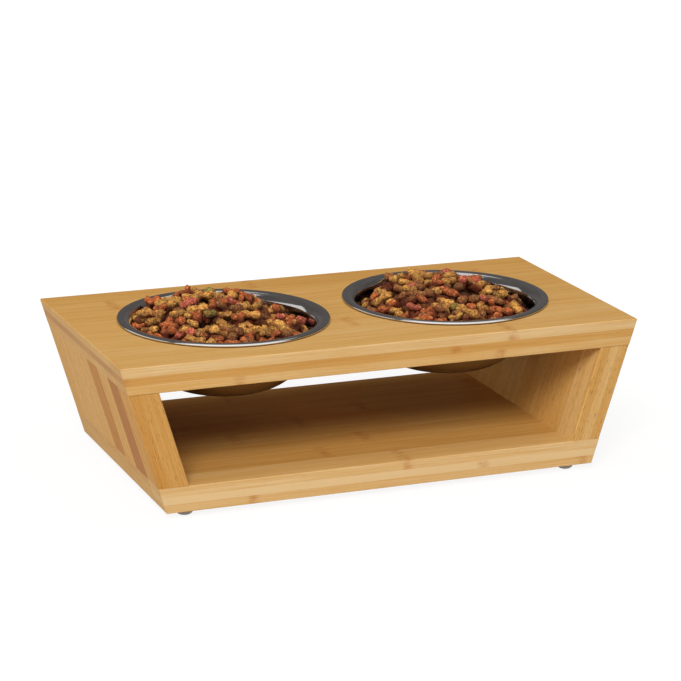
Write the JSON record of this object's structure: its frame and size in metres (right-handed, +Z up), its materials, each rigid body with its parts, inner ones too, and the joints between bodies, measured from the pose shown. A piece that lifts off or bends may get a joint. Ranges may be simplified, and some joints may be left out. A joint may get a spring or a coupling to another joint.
{
  "type": "elevated dog feeder with storage",
  "caption": "Low bamboo feeding stand whose ends lean outward, with a pair of lift-out steel bowls set in its top board and an open storage shelf below.",
  "frame": {"origin": "middle of the footprint, on the level surface that the feet stand on", "axes": "+X along the stand's length to the right seen from the front, +Y from front to rear, +Z up"},
  "size_m": [0.3994, 0.2, 0.1164],
  "materials": {
    "bamboo": "laminated bamboo, sanded and clear matt lacquered",
    "bowl_steel": "pressed stainless steel, mirror polished",
    "foot_rubber": "moulded translucent grey elastomer",
    "dowel_beech": "turned hardwood dowel, glued",
    "screw_zinc": "zinc plated steel"
  },
  "bodies": {
    "stand": {"left_side_panel": "bamboo", "right_side_panel": "bamboo", "top_board": "bamboo", "bottom_board": "bamboo", "front_left_foot": "foot_rubber", "front_right_foot": "foot_rubber", "rear_left_foot": "foot_rubber", "rear_right_foot": "foot_rubber", "left_dowels": "dowel_beech", "right_dowels": "dowel_beech", "left_screws": "screw_zinc", "right_screws": "screw_zinc"},
    "left_bowl": {"left_bowl": "bowl_steel"},
    "right_bowl": {"right_bowl": "bowl_steel"}
  },
  "joints": [
    {"name": "left_bowl_lift", "type": "slide", "parent": "stand", "child": "left_bowl", "axis": [0, 0, 1], "range_m": [0, 0.07]},
    {"name": "right_bowl_lift", "type": "slide", "parent": "stand", "child": "right_bowl", "axis": [0, 0, 1], "range_m": [0, 0.07]}
  ]
}
